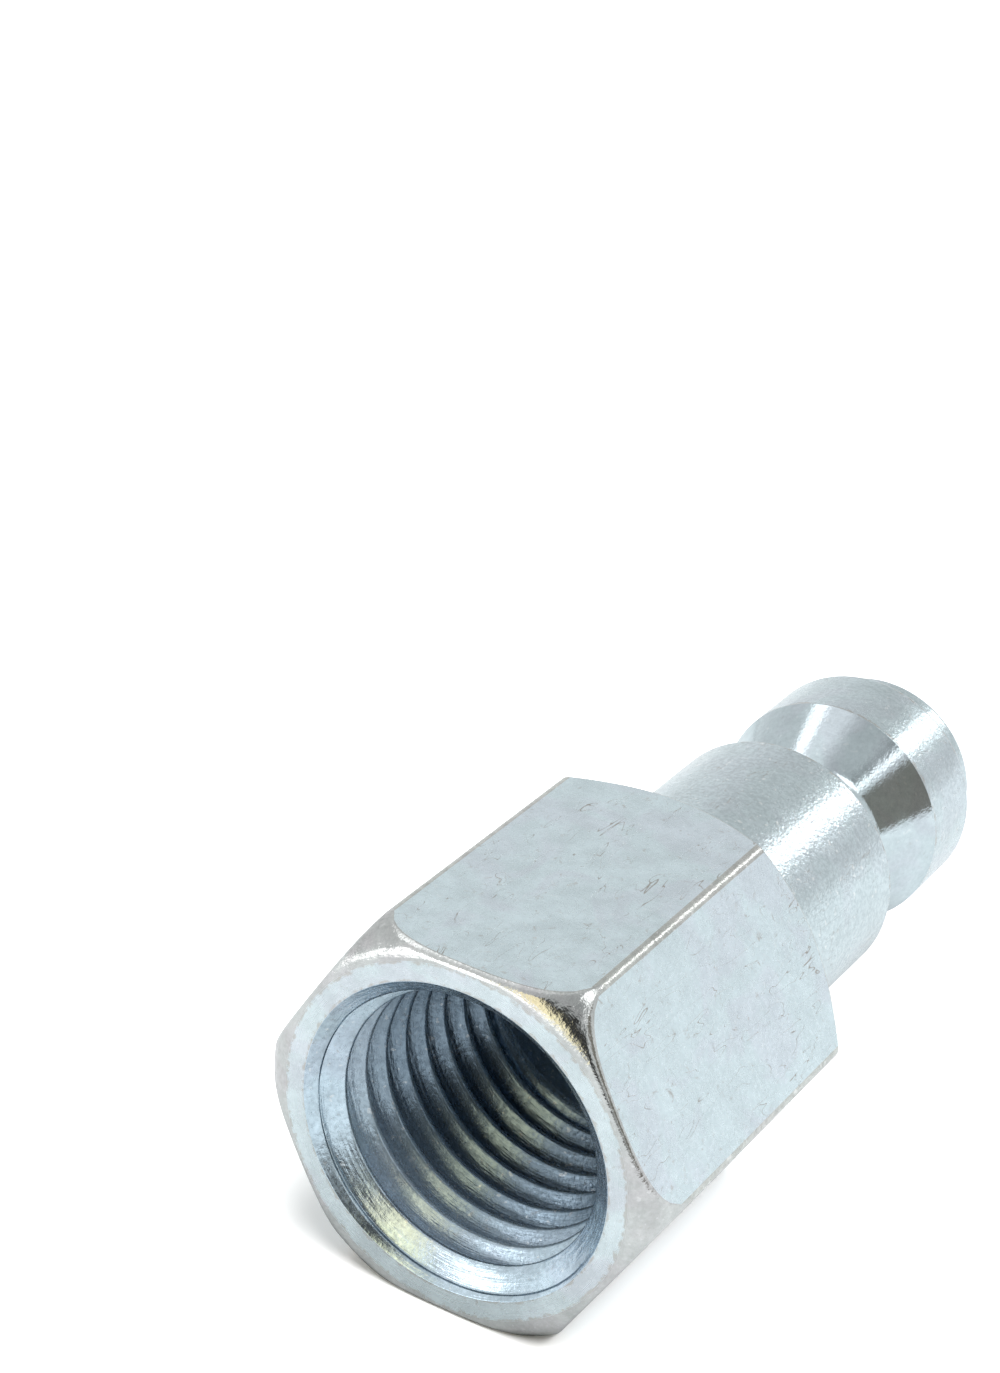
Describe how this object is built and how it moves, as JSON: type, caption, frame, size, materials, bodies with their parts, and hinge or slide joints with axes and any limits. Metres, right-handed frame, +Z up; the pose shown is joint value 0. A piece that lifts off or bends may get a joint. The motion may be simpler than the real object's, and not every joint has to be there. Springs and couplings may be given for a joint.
{
  "type": "quick disconnect coupler plug",
  "caption": "Male quick-disconnect plug turned from hexagon bar: pipe-thread socket in a wrench hexagon, plain shank, locking groove, sealing collar and bored nose.",
  "frame": {"origin": "bottom centre of the bounding box: on the wrench flat that the plug lies on, halfway along its length", "axes": "+Y along the plug's axis from the threaded socket to the nose, +Z up, normal to the upper wrench flat, +X to a corner of the hexagon"},
  "size_m": [0.0184, 0.038, 0.016],
  "materials": {
    "zinc_plated_steel": "satin bright zinc plate on turned steel"
  },
  "bodies": {
    "root": {"plug_body": "zinc_plated_steel"}
  },
  "joints": []
}
